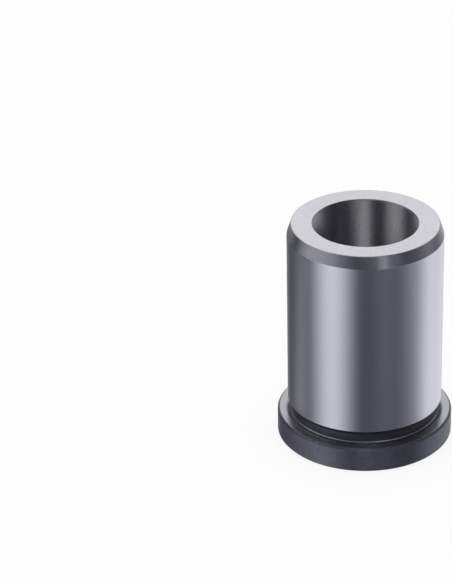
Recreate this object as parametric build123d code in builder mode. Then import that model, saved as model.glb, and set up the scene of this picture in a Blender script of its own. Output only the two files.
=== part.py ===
from build123d import *
import os

# A headed press-fit drill bush: one piece of steel, turned all over, hardened and ground.
# It stands on its head. The origin is the middle of the head's outer face.
# +Z runs along the bore to the free end of the shank. Sizes are in millimetres.

# The bore guides the drill, and the wall round it sets the shank's size.
bore_diameter = 20.0
shank_wall = 5.0

# The head stands out beyond the shank by a shoulder, which stops the bush on its plate.
head_shoulder = 2.0
head_height = 5.0
shank_length = 40.0

# The drill enters through a rounded mouth in the head.
mouth_radius = 3.0

# The bore's other edge, at the free end, is only just broken.
rim_break = 0.2

# A slim taper on the free end starts the bush in its hole.
taper_step = 0.8
taper_length = 2.35

# The corner between shank and head is relieved, so that both can be ground right up to it.
relief_width = 2.7
relief_depth = 0.55
relief_runout = 0.8
relief_corner_radius = 0.4

# The same cut runs a little way out over the shoulder.
shoulder_relief_reach = 0.3
shoulder_relief_depth = 0.2

# Both outer edges of the head are broken alike.
head_edge_break = 0.4

# Radii and heights that follow from the sizes above.
bore_radius = bore_diameter / 2
shank_radius = bore_radius + shank_wall
head_radius = shank_radius + head_shoulder
overall_length = head_height + shank_length
taper_start = overall_length - taper_length
taper_end_radius = shank_radius - taper_step
relief_top = head_height + relief_width
relief_floor_radius = shank_radius - relief_depth

with BuildPart() as bushing:
    # The turned blank: head, shank and taper in one outline.
    with BuildSketch(Plane.XZ) as blank_section:
        with BuildLine() as blank_outline:
            Polyline(
                (0, 0),
                (head_radius, 0),
                (head_radius, head_height),
                (shank_radius, head_height),
                (shank_radius, taper_start),
                (taper_end_radius, overall_length),
                (0, overall_length),
                close=True,
            )
        make_face()
    revolve(axis=Axis.Z)

    # The head's two outer edges are the widest circles on the blank.
    head_edges = bushing.edges().filter_by(GeomType.CIRCLE).group_by(SortBy.RADIUS)[-1]
    chamfer(head_edges, length=head_edge_break)

    # The bore runs right through.
    Hole(radius=bore_radius)

    # The relief slopes off the shank, runs down along its floor and turns out over the shoulder.
    with BuildSketch(Plane.XZ) as relief_section:
        with BuildLine() as relief_outline:
            Polyline(
                (shank_radius, relief_top),
                (relief_floor_radius, relief_top - relief_runout),
                (relief_floor_radius, head_height - shoulder_relief_depth),
                (shank_radius + shoulder_relief_reach, head_height),
                close=True,
            )
        make_face()
        relief_corner = relief_section.vertices().sort_by(Axis.Y)[0]
        fillet(relief_corner, radius=relief_corner_radius)
    revolve(axis=Axis.Z, mode=Mode.SUBTRACT)

    # The bore's edges are the smallest circle on the head's face and on the shank's end.
    circles = bushing.edges().filter_by(GeomType.CIRCLE)
    mouth_edge = circles.group_by(Axis.Z)[0].sort_by(SortBy.RADIUS)[0]
    rim_edge = circles.group_by(Axis.Z)[-1].sort_by(SortBy.RADIUS)[0]
    fillet(mouth_edge, radius=mouth_radius)
    chamfer(rim_edge, length=rim_break)

bushing.part.label = "bushing"

os.makedirs("parts", exist_ok=True)
export_step(bushing.part, "parts/bushing.step")
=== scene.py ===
import bpy
import math
from collections import namedtuple
from mathutils import Matrix, Vector


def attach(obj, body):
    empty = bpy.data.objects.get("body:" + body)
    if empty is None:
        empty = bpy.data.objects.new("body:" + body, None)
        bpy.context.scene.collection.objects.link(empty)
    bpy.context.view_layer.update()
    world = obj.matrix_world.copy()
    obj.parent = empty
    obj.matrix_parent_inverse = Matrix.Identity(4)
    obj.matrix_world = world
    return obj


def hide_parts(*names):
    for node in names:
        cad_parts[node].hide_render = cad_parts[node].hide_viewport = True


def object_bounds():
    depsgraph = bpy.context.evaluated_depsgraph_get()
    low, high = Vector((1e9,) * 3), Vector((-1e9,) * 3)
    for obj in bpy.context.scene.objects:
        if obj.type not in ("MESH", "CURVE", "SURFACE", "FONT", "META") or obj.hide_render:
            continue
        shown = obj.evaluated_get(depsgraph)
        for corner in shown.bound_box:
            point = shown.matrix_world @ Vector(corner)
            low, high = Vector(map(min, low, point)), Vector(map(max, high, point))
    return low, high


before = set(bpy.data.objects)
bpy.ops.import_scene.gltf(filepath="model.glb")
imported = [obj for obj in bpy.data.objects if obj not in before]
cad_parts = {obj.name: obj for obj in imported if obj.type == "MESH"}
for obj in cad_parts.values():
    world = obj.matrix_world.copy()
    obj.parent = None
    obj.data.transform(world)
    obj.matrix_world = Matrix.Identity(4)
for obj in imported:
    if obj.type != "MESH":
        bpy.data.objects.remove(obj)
cad_low, cad_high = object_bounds()
scene = bpy.context.scene
MM = 0.001

# The bush's sizes, in millimetres. Its length and its head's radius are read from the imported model.
LENGTH = round(cad_high.z / MM, 2)
HEAD_RADIUS = round(cad_high.x / MM, 2)
HEAD_HEIGHT = 5.0
HEAD_SHOULDER = 2.0
HEAD_EDGE_BREAK = 0.4
SHANK_WALL = 5.0
MOUTH_RADIUS = 3.0
RIM_BREAK = 0.2
TAPER_STEP = 0.8
TAPER_LENGTH = 2.35
RELIEF_WIDTH = 2.7
RELIEF_DEPTH = 0.55
RELIEF_RUNOUT = 0.8
SHOULDER_RELIEF_REACH = 0.3
SHOULDER_RELIEF_DEPTH = 0.2

# Radii and heights that follow from the sizes above.
SHANK_RADIUS = HEAD_RADIUS - HEAD_SHOULDER
BORE_RADIUS = SHANK_RADIUS - SHANK_WALL
MOUTH_RIM_RADIUS = BORE_RADIUS + MOUTH_RADIUS
HEAD_FACE_RADIUS = HEAD_RADIUS - HEAD_EDGE_BREAK
RELIEF_TOP = HEAD_HEIGHT + RELIEF_WIDTH
RELIEF_FLOOR_RADIUS = SHANK_RADIUS - RELIEF_DEPTH

# The corners run once round the bush's section: base, head, relief, shank, taper, end face, bore, mouth.
# Each has a radius and a height, the radius of its rounding, the zone of that rounding and the zone of the
# stretch that follows it. A zone is the part of the surface that has one finish.
# Where a rounding has no zone of its own, the stretches on both sides share it.
Corner = namedtuple("Corner", "radius height rounding round_zone zone")
CORNERS = [
    Corner(MOUTH_RIM_RADIUS, 0.0, 0.0, None, "head_face"),
    Corner(HEAD_FACE_RADIUS, 0.0, 0.10, None, "head_edge"),
    Corner(HEAD_RADIUS, HEAD_EDGE_BREAK, 0.12, None, "head_side"),
    Corner(HEAD_RADIUS, HEAD_HEIGHT - HEAD_EDGE_BREAK, 0.12, None, "head_edge"),
    Corner(HEAD_FACE_RADIUS, HEAD_HEIGHT, 0.08, None, "shoulder"),
    Corner(SHANK_RADIUS + SHOULDER_RELIEF_REACH, HEAD_HEIGHT, 0.10, None, "shoulder"),
    Corner(RELIEF_FLOOR_RADIUS, HEAD_HEIGHT - SHOULDER_RELIEF_DEPTH, 0.40, "relief_corner", "relief"),
    Corner(RELIEF_FLOOR_RADIUS, RELIEF_TOP - RELIEF_RUNOUT, 0.20, None, "relief"),
    Corner(SHANK_RADIUS, RELIEF_TOP, 0.05, None, "shank"),
    Corner(SHANK_RADIUS, LENGTH - TAPER_LENGTH, 0.60, None, "taper"),
    Corner(SHANK_RADIUS - TAPER_STEP, LENGTH, 0.15, "rim", "end_face"),
    Corner(BORE_RADIUS + RIM_BREAK, LENGTH, 0.05, "rim", "bore_edge"),
    Corner(BORE_RADIUS, LENGTH - RIM_BREAK, 0.05, "bore_edge", "bore"),
    Corner(BORE_RADIUS, MOUTH_RADIUS, 0.0, None, "mouth"),
]

# How finely the section is divided. A rounding turns by about ARC_STEP radians from point to point, and a
# straight stretch has a point about every POINT_SPACING millimetres.
ARC_STEP = 0.16
FEWEST_ARC_STEPS = 4
MOUTH_STEPS = 32
POINT_SPACING = 1.5
# The section is repeated this many times round the axis.
AROUND = 288

# In the relief's corner a narrow line gets a brighter colour than the rest of the relief, a painted
# highlight: it lies where the normal's upward part is between these.
HIGHLIGHT_LINE_FROM = 0.17
HIGHLIGHT_LINE_TO = 0.5

# A point of the section, the surface's normal there, and the zone from this point to the next.
Point = namedtuple("Point", "place normal zone")

# A corner's place, the directions into and out of it, the turn between them, and the length that its
# rounding takes off the stretch on each side.
Bend = namedtuple("Bend", "place way_in way_out turn cut")


def bend(index):
    """Works out the bend at a corner."""
    corner = CORNERS[index]
    before = CORNERS[index - 1]
    after = CORNERS[(index + 1) % len(CORNERS)]
    place = Vector((corner.radius, corner.height))
    way_in = (place - Vector((before.radius, before.height))).normalized()
    way_out = (Vector((after.radius, after.height)) - place).normalized()
    turn = math.atan2(way_in.cross(way_out), way_in.dot(way_out))
    cut = corner.rounding * abs(math.tan(turn / 2))
    return Bend(place, way_in, way_out, turn, cut)


def outward(way):
    """The surface's normal where the section runs this way."""
    return Vector((way.y, -way.x))


def turned(way, angle):
    """A direction turned anticlockwise by an angle."""
    cosine = math.cos(angle)
    sine = math.sin(angle)
    return Vector((way.x * cosine - way.y * sine, way.x * sine + way.y * cosine))


def rounding_zone(index, step, steps, normal):
    """The zone that follows one point of a corner's rounding."""
    corner = CORNERS[index]
    # The painted highlight of the relief's corner is kept to a narrow line, and the rest of that rounding
    # takes the relief's finish.
    if corner.round_zone == "relief_corner" and not HIGHLIGHT_LINE_FROM < normal.y < HIGHLIGHT_LINE_TO:
        return "relief"
    if corner.round_zone and step < steps:
        return corner.round_zone
    return CORNERS[index - 1].zone if step < steps / 2 else corner.zone


def rounding_points(index):
    """The points of a corner's rounding, both ends included."""
    at = bend(index)
    side = 1 if at.turn > 0 else -1
    radius = CORNERS[index].rounding
    start = at.place - at.way_in * at.cut
    centre = start + Vector((-at.way_in.y, at.way_in.x)) * radius * side
    steps = max(FEWEST_ARC_STEPS, int(abs(at.turn) / ARC_STEP))
    points = []
    for step in range(steps + 1):
        normal = turned(outward(at.way_in), at.turn * step / steps)
        zone = rounding_zone(index, step, steps, normal)
        points.append(Point(centre + normal * radius * side, normal, zone))
    return points


def stretch_points(index):
    """The points of the straight stretch that follows a corner, without its ends."""
    at = bend(index)
    following = bend((index + 1) % len(CORNERS))
    begin = at.place + at.way_out * at.cut
    end = following.place - at.way_out * following.cut
    length = (end - begin).length
    parts = max(1, round(length / POINT_SPACING))
    points = []
    for part in range(1, parts):
        place = begin + at.way_out * length * part / parts
        points.append(Point(place, outward(at.way_out), CORNERS[index].zone))
    return points


def mouth_points():
    """The mouth's points, a quarter circle from the bore to the head's face, without its last."""
    centre = Vector((MOUTH_RIM_RADIUS, MOUTH_RADIUS))
    points = []
    for step in range(MOUTH_STEPS):
        angle = math.pi / 2 * step / MOUTH_STEPS
        normal = Vector((-math.cos(angle), -math.sin(angle)))
        points.append(Point(centre + normal * MOUTH_RADIUS, normal, "mouth"))
    return points


def section_points():
    """All the section's points, once round it from the inner edge of the head's face."""
    first = CORNERS[0]
    points = [Point(Vector((first.radius, first.height)), Vector((0.0, -1.0)), first.zone)]
    for index, corner in enumerate(CORNERS):
        if corner.rounding:
            points.extend(rounding_points(index))
        if corner.zone == "mouth":
            points.extend(mouth_points())
        else:
            points.extend(stretch_points(index))
    return points


def add_object(name, data):
    """An object with this mesh or camera, linked to the scene."""
    obj = bpy.data.objects.new(name, data)
    scene.collection.objects.link(obj)
    return obj


def lathe(name, zones):
    """A piece made by turning the section about the Z axis. Its material slots follow the order of zones."""
    ring = section_points()
    count = len(ring)
    verts = []
    normals = []
    for column in range(AROUND):
        angle = 2 * math.pi * column / AROUND
        cosine = math.cos(angle)
        sine = math.sin(angle)
        for place, normal, _ in ring:
            verts.append((place.x * cosine * MM, place.x * sine * MM, place.y * MM))
            normals.append((normal.x * cosine, normal.x * sine, normal.y))
    faces = []
    face_zones = []
    for column in range(AROUND):
        here = column * count
        beside = ((column + 1) % AROUND) * count
        for row in range(count):
            above = (row + 1) % count
            faces.append((here + row, beside + row, beside + above, here + above))
            face_zones.append(zones.index(ring[row].zone))
    mesh = bpy.data.meshes.new(name)
    mesh.from_pydata(verts, [], faces)
    mesh.polygons.foreach_set("material_index", face_zones)
    mesh.polygons.foreach_set("use_smooth", [True] * len(faces))
    mesh.validate()
    mesh.normals_split_custom_set_from_vertices(normals)
    return add_object(name, mesh)


def new_material(name):
    """A material with an empty node tree."""
    material = bpy.data.materials.new(name)
    material.use_nodes = True
    material.node_tree.nodes.clear()
    return material


def calculate(tree, operation, *values):
    """A Math node's result. Each value is a number or another node's output."""
    node = tree.nodes.new("ShaderNodeMath")
    node.operation = operation
    for socket, value in zip(node.inputs, values):
        if isinstance(value, (int, float)):
            socket.default_value = value
        else:
            tree.links.new(value, socket)
    return node.outputs[0]


# The middle of a noise texture's values. It is taken off, so that a noise lightens as much as it darkens.
NOISE_MIDDLE = 0.5

# Turning and grinding marks: how often they change round the axis, and the noise's own settings.
MARKS_AROUND = 16.0
MARKS_DETAIL = 3.0
MARKS_ROUGHNESS = 0.6

# The grain and the clouds: the size of their features in millimetres, and the noise's own detail.
GRAIN_SIZE = 0.42
GRAIN_DETAIL = 1.0
CLOUD_SIZE = 2.6
CLOUD_DETAIL = 2.0

# The clouds change the roughness by this much, and the grain stands in the bump at this share of the marks.
CLOUD_ROUGHNESS = 0.03
GRAIN_HEIGHT = 0.5
BUMP_DISTANCE = 0.02 * MM

# A quarter turn of the gloss makes it wider along the axis, across the marks.
GLOSS_TURN = 0.25

# The specular level of the oxide, which shows where a finish has metal below 1.
OXIDE_SPECULAR = 0.1

# Keeps the division by a point's radius safe on the axis itself.
LEAST_RADIUS = 0.1 * MM


def marks_noise(tree, place, per_mm):
    """Noise that is fine across the turning marks and long along them."""
    parts = tree.nodes.new("ShaderNodeSeparateXYZ")
    tree.links.new(place, parts.inputs[0])
    x, y, height = parts.outputs
    x_squared = calculate(tree, "MULTIPLY", x, x)
    y_squared = calculate(tree, "MULTIPLY", y, y)
    radius = calculate(tree, "SQRT", calculate(tree, "ADD", x_squared, y_squared))
    safe_radius = calculate(tree, "MAXIMUM", radius, LEAST_RADIUS)
    cosine = calculate(tree, "DIVIDE", x, safe_radius)
    sine = calculate(tree, "DIVIDE", y, safe_radius)
    spot = tree.nodes.new("ShaderNodeCombineXYZ")
    tree.links.new(calculate(tree, "MULTIPLY", cosine, MARKS_AROUND), spot.inputs[0])
    tree.links.new(calculate(tree, "MULTIPLY", sine, MARKS_AROUND), spot.inputs[1])
    tree.links.new(calculate(tree, "MULTIPLY", height, per_mm / MM), spot.inputs[2])
    noise = tree.nodes.new("ShaderNodeTexNoise")
    noise.noise_dimensions = "4D"
    noise.inputs["Scale"].default_value = 1.0
    noise.inputs["Detail"].default_value = MARKS_DETAIL
    noise.inputs["Roughness"].default_value = MARKS_ROUGHNESS
    tree.links.new(spot.outputs[0], noise.inputs["Vector"])
    tree.links.new(calculate(tree, "MULTIPLY", radius, per_mm / MM), noise.inputs["W"])
    return calculate(tree, "SUBTRACT", noise.outputs[0], NOISE_MIDDLE)


def even_noise(tree, place, size_mm, detail):
    """Noise that is alike in every direction, with features of about this size."""
    noise = tree.nodes.new("ShaderNodeTexNoise")
    noise.inputs["Scale"].default_value = 1.0 / (size_mm * MM)
    noise.inputs["Detail"].default_value = detail
    tree.links.new(place, noise.inputs["Vector"])
    return calculate(tree, "SUBTRACT", noise.outputs[0], NOISE_MIDDLE)


def steel(name, colour, rough, aniso, marks_per_mm, marks, grain, clouds, bump, metal=1.0):
    """Turned or ground steel.

    marks, grain and clouds say how much each noise changes the colour: marks run round the axis, grain is
    fine and even, and clouds are broad. Where metal is below 1, the steel is dull with oxide.
    """
    material = new_material(name)
    tree = material.node_tree
    shader = tree.nodes.new("ShaderNodeBsdfPrincipled")
    shader.inputs["Metallic"].default_value = metal
    shader.inputs["Specular IOR Level"].default_value = OXIDE_SPECULAR
    shader.inputs["Anisotropic"].default_value = aniso
    shader.inputs["Anisotropic Rotation"].default_value = GLOSS_TURN
    tangent = tree.nodes.new("ShaderNodeTangent")
    tangent.direction_type = "RADIAL"
    tangent.axis = "Z"
    tree.links.new(tangent.outputs[0], shader.inputs["Tangent"])

    place = tree.nodes.new("ShaderNodeTexCoord").outputs["Object"]
    mark = marks_noise(tree, place, marks_per_mm)
    speckle = even_noise(tree, place, GRAIN_SIZE, GRAIN_DETAIL)
    cloud = even_noise(tree, place, CLOUD_SIZE, CLOUD_DETAIL)

    # The colour is lighter and darker by the marks, the grain and the clouds.
    mark_tone = calculate(tree, "MULTIPLY", mark, marks)
    speckle_tone = calculate(tree, "MULTIPLY", speckle, grain)
    cloud_tone = calculate(tree, "MULTIPLY", cloud, clouds)
    tone = calculate(tree, "ADD", calculate(tree, "ADD", mark_tone, speckle_tone), cloud_tone)
    shaded = tree.nodes.new("ShaderNodeVectorMath")
    shaded.operation = "SCALE"
    shaded.inputs[0].default_value = colour
    tree.links.new(calculate(tree, "ADD", tone, 1.0), shaded.inputs["Scale"])
    tree.links.new(shaded.outputs[0], shader.inputs["Base Color"])

    # The clouds make the gloss a little uneven too.
    uneven = calculate(tree, "MULTIPLY", cloud, CLOUD_ROUGHNESS)
    tree.links.new(calculate(tree, "ADD", uneven, rough), shader.inputs["Roughness"])

    # The marks and the grain stand out of the surface.
    height = calculate(tree, "ADD", mark, calculate(tree, "MULTIPLY", speckle, GRAIN_HEIGHT))
    bumps = tree.nodes.new("ShaderNodeBump")
    bumps.inputs["Strength"].default_value = bump
    bumps.inputs["Distance"].default_value = BUMP_DISTANCE
    tree.links.new(height, bumps.inputs["Height"])
    tree.links.new(bumps.outputs[0], shader.inputs["Normal"])

    out = tree.nodes.new("ShaderNodeOutputMaterial")
    tree.links.new(shader.outputs[0], out.inputs[0])
    return material


# The finish of each zone. The rim is the small rounding at both edges of the end face, and the bore_edge is
# the broken edge inside it.
FINISHES = {
    "head_face": steel(
        "ground_end", colour=(0.58, 0.58, 0.61), rough=0.38, aniso=0.3,
        marks_per_mm=7.0, marks=0.10, grain=0.12, clouds=0.06, bump=0.25,
    ),
    "head_edge": steel(
        "turned_edge", colour=(0.060, 0.062, 0.076), rough=0.34, aniso=0.3,
        marks_per_mm=5.0, marks=0.5, grain=0.6, clouds=0.5, bump=0.2, metal=0.35,
    ),
    "head_side": steel(
        "turned_head", colour=(0.190, 0.199, 0.247), rough=0.48, aniso=0.9,
        marks_per_mm=5.0, marks=0.20, grain=0.50, clouds=0.45, bump=0.25, metal=0.94,
    ),
    "shoulder": steel(
        "turned_shoulder", colour=(0.46, 0.46, 0.50), rough=0.28, aniso=0.3,
        marks_per_mm=6.0, marks=0.20, grain=0.25, clouds=0.10, bump=0.15,
    ),
    "relief": steel(
        "turned_relief", colour=(0.088, 0.091, 0.112), rough=0.56, aniso=0.2,
        marks_per_mm=3.5, marks=1.0, grain=0.6, clouds=0.2, bump=0.4,
    ),
    # The relief corner's narrow line: its bright colour is a painted highlight where that corner catches the
    # light from above.
    "relief_corner": steel(
        "corner_painted_highlight", colour=(0.48, 0.485, 0.53), rough=0.20, aniso=0.3,
        marks_per_mm=5.0, marks=0.2, grain=0.2, clouds=0.2, bump=0.05, metal=0.72,
    ),
    "shank": steel(
        "ground_shank", colour=(0.70, 0.70, 0.78), rough=0.30, aniso=0.7,
        marks_per_mm=8.0, marks=0.05, grain=0.04, clouds=0.01, bump=0.08,
    ),
    "taper": steel(
        "turned_taper", colour=(0.41, 0.41, 0.455), rough=0.28, aniso=0.6,
        marks_per_mm=5.0, marks=0.30, grain=0.40, clouds=0.06, bump=0.07,
    ),
    "end_face": steel(
        "ground_face", colour=(0.68, 0.68, 0.71), rough=0.40, aniso=0.3,
        marks_per_mm=4.0, marks=0.14, grain=0.30, clouds=0.08, bump=0.20,
    ),
    "rim": steel(
        "bright_rim", colour=(0.45, 0.45, 0.48), rough=0.48, aniso=0.3,
        marks_per_mm=9.0, marks=0.03, grain=0.10, clouds=0.0, bump=0.05,
    ),
    "bore": steel(
        "honed_bore", colour=(0.55, 0.55, 0.586), rough=0.46, aniso=1.0,
        marks_per_mm=5.0, marks=0.25, grain=0.45, clouds=0.08, bump=0.12,
    ),
    "mouth": steel(
        "honed_mouth", colour=(0.68, 0.68, 0.71), rough=0.34, aniso=0.8,
        marks_per_mm=7.0, marks=0.08, grain=0.12, clouds=0.05, bump=0.2,
    ),
    "bore_edge": steel(
        "deburred_edge", colour=(0.22, 0.22, 0.235), rough=0.42, aniso=0.3,
        marks_per_mm=5.0, marks=0.20, grain=0.30, clouds=0.10, bump=0.1,
    ),
}

bush = lathe("drill_bush", list(FINISHES))
for finish in FINISHES.values():
    bush.data.materials.append(finish)
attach(bush, "root")
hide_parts("bushing")

# The floor lies just under the part. Of what the camera sees there, FLOOR_WHITE_SHARE is plain white, and
# the rest is a pale surface that keeps the part's shadow. Reflections leave the floor out, because a white
# floor in the steel would hide the dark lower part of its surround.
FLOOR_HALF = 3.0
FLOOR_DROP = 0.02 * MM
FLOOR_COLOUR = (0.97, 0.97, 0.97, 1.0)
FLOOR_WHITE_SHARE = 0.85

floor_corners = [(-FLOOR_HALF, -FLOOR_HALF, 0), (FLOOR_HALF, -FLOOR_HALF, 0)]
floor_corners += [(FLOOR_HALF, FLOOR_HALF, 0), (-FLOOR_HALF, FLOOR_HALF, 0)]
floor_mesh = bpy.data.meshes.new("floor")
floor_mesh.from_pydata(floor_corners, [], [(0, 1, 2, 3)])
floor = add_object("floor", floor_mesh)
floor.location.z = -FLOOR_DROP
floor.visible_glossy = False

floor_material = new_material("pale_floor")
floor_tree = floor_material.node_tree
pale = floor_tree.nodes.new("ShaderNodeBsdfDiffuse")
pale.inputs["Color"].default_value = FLOOR_COLOUR
white = floor_tree.nodes.new("ShaderNodeEmission")
floor_path = floor_tree.nodes.new("ShaderNodeLightPath")
white_share = calculate(floor_tree, "MULTIPLY", floor_path.outputs["Is Camera Ray"], FLOOR_WHITE_SHARE)
floor_mix = floor_tree.nodes.new("ShaderNodeMixShader")
floor_tree.links.new(white_share, floor_mix.inputs[0])
floor_tree.links.new(pale.outputs[0], floor_mix.inputs[1])
floor_tree.links.new(white.outputs[0], floor_mix.inputs[2])
floor_out = floor_tree.nodes.new("ShaderNodeOutputMaterial")
floor_tree.links.new(floor_mix.outputs[0], floor_out.inputs[0])
floor_mesh.materials.append(floor_material)

# Where the part stands the floor gets no light, and the bore shows that. A dark disc a little smaller than
# the head stands for it, and the camera doesn't see the disc.
SEAT_INSET = 0.2
SEAT_RADIUS = (HEAD_RADIUS - SEAT_INSET) * MM
SEAT_SIDES = 96
SEAT_DROP = 0.01 * MM
SEAT_COLOUR = (0.02, 0.02, 0.02, 1.0)

seat_corners = []
for side in range(SEAT_SIDES):
    angle = 2 * math.pi * side / SEAT_SIDES
    seat_corners.append((SEAT_RADIUS * math.cos(angle), SEAT_RADIUS * math.sin(angle), -SEAT_DROP))
seat_mesh = bpy.data.meshes.new("seat_shadow")
seat_mesh.from_pydata(seat_corners, [], [range(SEAT_SIDES)])
seat = add_object("seat_shadow", seat_mesh)
seat.visible_camera = False

seat_material = new_material("seat_shadow")
seat_tree = seat_material.node_tree
seat_shader = seat_tree.nodes.new("ShaderNodeBsdfPrincipled")
seat_shader.inputs["Base Color"].default_value = SEAT_COLOUR
seat_shader.inputs["Specular IOR Level"].default_value = 0.0
seat_out = seat_tree.nodes.new("ShaderNodeOutputMaterial")
seat_tree.links.new(seat_shader.outputs[0], seat_out.inputs[0])
seat_mesh.materials.append(seat_material)

# The studio. A white background stands all round, and for metal and glass there are dark flags in front of
# it, with soft openings between them. Directions are in degrees: azimuth 0 is the camera's side and grows to
# the camera's right, and elevation is above the horizon.
world = bpy.data.worlds.new("studio")
scene.world = world
world.use_nodes = True
studio = world.node_tree
studio.nodes.clear()

direction = studio.nodes.new("ShaderNodeSeparateXYZ")
studio.links.new(studio.nodes.new("ShaderNodeTexCoord").outputs["Generated"], direction.inputs[0])
right, away, upward = direction.outputs
nearer = calculate(studio, "MULTIPLY", away, -1.0)
azimuth = calculate(studio, "DEGREES", calculate(studio, "ARCTAN2", right, nearer))
elevation = calculate(studio, "DEGREES", calculate(studio, "ARCSINE", upward))


def soft_change(value, start, end, first, last):
    """Goes smoothly from first to last while value goes from start to end."""
    node = studio.nodes.new("ShaderNodeMapRange")
    node.interpolation_type = "SMOOTHSTEP"
    studio.links.new(value, node.inputs["Value"])
    node.inputs["From Min"].default_value = start
    node.inputs["From Max"].default_value = end
    node.inputs["To Min"].default_value = first
    node.inputs["To Max"].default_value = last
    return node.outputs[0]


def between(value, low, high, fade):
    """1 from low to high, falling smoothly to 0 over fade degrees outside."""
    rising = soft_change(value, low - fade, low, 0.0, 1.0)
    falling = soft_change(value, high, high + fade, 1.0, 0.0)
    return calculate(studio, "MULTIPLY", rising, falling)


FULL_TURN = 360.0
HALF_TURN = 180.0


def azimuth_from(centre):
    """The azimuth measured from centre, between minus and plus half a turn."""
    shifted = calculate(studio, "ADD", azimuth, FULL_TURN + HALF_TURN - centre)
    wrapped = calculate(studio, "MODULO", shifted, FULL_TURN)
    return calculate(studio, "SUBTRACT", wrapped, HALF_TURN)


def opening(centre, half, side_fade, low, high, end_fade, strength):
    """How much of the background shows in an opening.

    It is open for half degrees on each side of its centre and from low to high, with soft edges outside.
    Past 90 or -90, it takes in the point straight overhead or underfoot.
    """
    across = between(azimuth_from(centre), -half, half, side_fade)
    upright = between(elevation, low, high, end_fade)
    return calculate(studio, "MULTIPLY", calculate(studio, "MULTIPLY", across, upright), strength)


# What each opening lights, as the camera sees the part. The two that are far stronger than the background
# are for the bore's two light bands, because its dull wall sees only a little of them.
OPENINGS = [
    # Low on the left: the shank's wide light band, and the left of the head's side.
    opening(centre=-48, half=0, side_fade=45, low=-35, high=-14, end_fade=6, strength=0.99),
    # Level on the left: the taper's left side.
    opening(centre=-63, half=17, side_fade=43, low=-6, high=0, end_fade=7, strength=1.15),
    # High on the left: the bore's right band.
    opening(centre=-68, half=3, side_fade=29, low=24, high=46, end_fade=6, strength=1.95),
    # High on the far left: the bore's right edge, and the head's upper edge on the left.
    opening(centre=-101, half=7, side_fade=21, low=40, high=95, end_fade=10, strength=1.25),
    # High in front: the bore's middle band.
    opening(centre=5, half=6, side_fade=19, low=40, high=50, end_fade=10, strength=3.8),
    # Overhead in front: the edges and the relief's corner at the front.
    opening(centre=2, half=16, side_fade=17, low=74, high=95, end_fade=8, strength=1.25),
    # Level and a little higher, right of the camera: the small light patch on the taper.
    opening(centre=34, half=6, side_fade=24, low=-6, high=2, end_fade=6, strength=0.62),
    opening(centre=27, half=3, side_fade=6, low=5, high=30, end_fade=9, strength=0.50),
    # Low on the right: where the shank's light right side begins.
    opening(centre=84, half=9, side_fade=33, low=-17, high=-10, end_fade=7, strength=0.92),
    # Low behind on the right: the shank's light right side, and the right of the head's side.
    opening(centre=130, half=13, side_fade=44, low=-95, high=-23, end_fade=8, strength=0.87),
    # Above level behind on the right: the right side of taper and relief.
    opening(centre=121, half=9, side_fade=19, low=11, high=27, end_fade=6, strength=1.15),
    # High behind the part: the end face and the shoulder.
    opening(centre=180, half=28, side_fade=38, low=-2, high=95, end_fade=17, strength=0.92),
    # Low behind the part: a faint light on both its sides.
    opening(centre=177, half=11, side_fade=29, low=-62, high=3, end_fade=9, strength=0.27),
    # Low behind on the left: the left side of shank and head.
    opening(centre=-132, half=7, side_fade=27, low=-95, high=-40, end_fade=8, strength=1.15),
    # All round below the horizon: a faint glow.
    opening(centre=0, half=180, side_fade=1, low=-95, high=-6, end_fade=18, strength=0.055),
]

# The background's level, and that of the flags. The flags are a little blue: they show FLAG_BLUE more blue
# than red and green.
PLAIN_LEVEL = 1.0
FLAG_LEVEL = 0.005
FLAG_BLUE = 0.02

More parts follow.
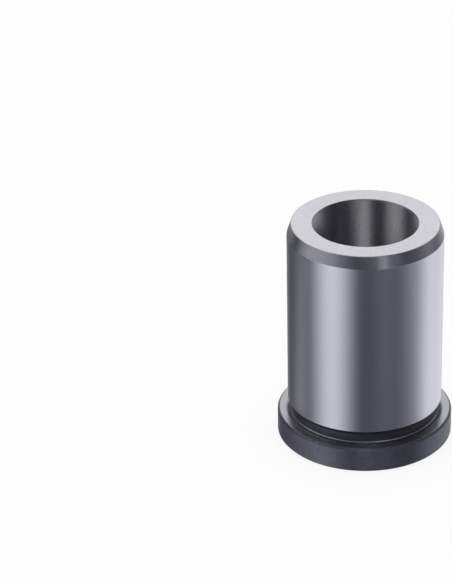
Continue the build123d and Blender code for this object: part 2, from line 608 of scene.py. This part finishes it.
# Metal and glass see the flags and their openings, and everything else is lit by the plain level.
flagged = FLAG_LEVEL
for share in OPENINGS:
    flagged = calculate(studio, "ADD", share, flagged)
path = studio.nodes.new("ShaderNodeLightPath")
shiny_ray = calculate(studio, "MAXIMUM", path.outputs["Is Glossy Ray"], path.outputs["Is Transmission Ray"])
difference = calculate(studio, "SUBTRACT", flagged, PLAIN_LEVEL)
lit = calculate(studio, "ADD", calculate(studio, "MULTIPLY", shiny_ray, difference), PLAIN_LEVEL)
red_green = calculate(studio, "MAXIMUM", lit, path.outputs["Is Camera Ray"])
blue = calculate(studio, "ADD", red_green, calculate(studio, "MULTIPLY", shiny_ray, FLAG_BLUE))
tint = studio.nodes.new("ShaderNodeCombineColor")
studio.links.new(red_green, tint.inputs[0])
studio.links.new(red_green, tint.inputs[1])
studio.links.new(blue, tint.inputs[2])
background = studio.nodes.new("ShaderNodeBackground")
studio.links.new(tint.outputs[0], background.inputs["Color"])
studio_out = studio.nodes.new("ShaderNodeOutputWorld")
studio.links.new(background.outputs[0], studio_out.inputs[0])

# The camera, fitted to the photo. The middle of the part is at the aim pixel of the photo's frame.
FRAME_WIDTH = 452
FRAME_HEIGHT = 584
FOCAL_PIXELS = 2807.1
AIM_PIXEL_X = 364.80
AIM_PIXEL_Y = 326.65
CAMERA_DISTANCE = 543.6 * MM
CAMERA_ELEVATION = math.radians(28.636)
CAMERA_ROLL = math.radians(-0.343)
SENSOR_SIZE = 36.0
CLIP_START = 0.01
CLIP_END = 20.0

aim = Vector((0, 0, LENGTH / 2 * MM))
sideways = Vector((1, 0, 0))
back = Vector((0, -math.cos(CAMERA_ELEVATION), math.sin(CAMERA_ELEVATION)))
facing = Matrix((sideways, back.cross(sideways), back))

# The camera turns from facing the part squarely until the part is at the aim pixel, and rolls a little.
aim_right = (AIM_PIXEL_X - FRAME_WIDTH / 2) / FOCAL_PIXELS
aim_down = (AIM_PIXEL_Y - FRAME_HEIGHT / 2) / FOCAL_PIXELS
aim_ray = Vector((aim_right, -aim_down, -1.0)).normalized()
swing = Vector((0, 0, -1)).rotation_difference(aim_ray).to_matrix()
axes = swing @ Matrix.Rotation(CAMERA_ROLL, 3, "Z") @ facing

# The picture is taller than it is wide, so the sensor's size lies along its height.
camera_data = bpy.data.cameras.new("camera")
camera_data.sensor_width = SENSOR_SIZE
camera_data.lens = FOCAL_PIXELS / FRAME_HEIGHT * SENSOR_SIZE
camera_data.clip_start = CLIP_START
camera_data.clip_end = CLIP_END
camera = add_object("camera", camera_data)
camera.matrix_world = Matrix.Translation(aim + back * CAMERA_DISTANCE) @ axes.transposed().to_4x4()
scene.camera = camera

scene.view_settings.view_transform = "Standard"
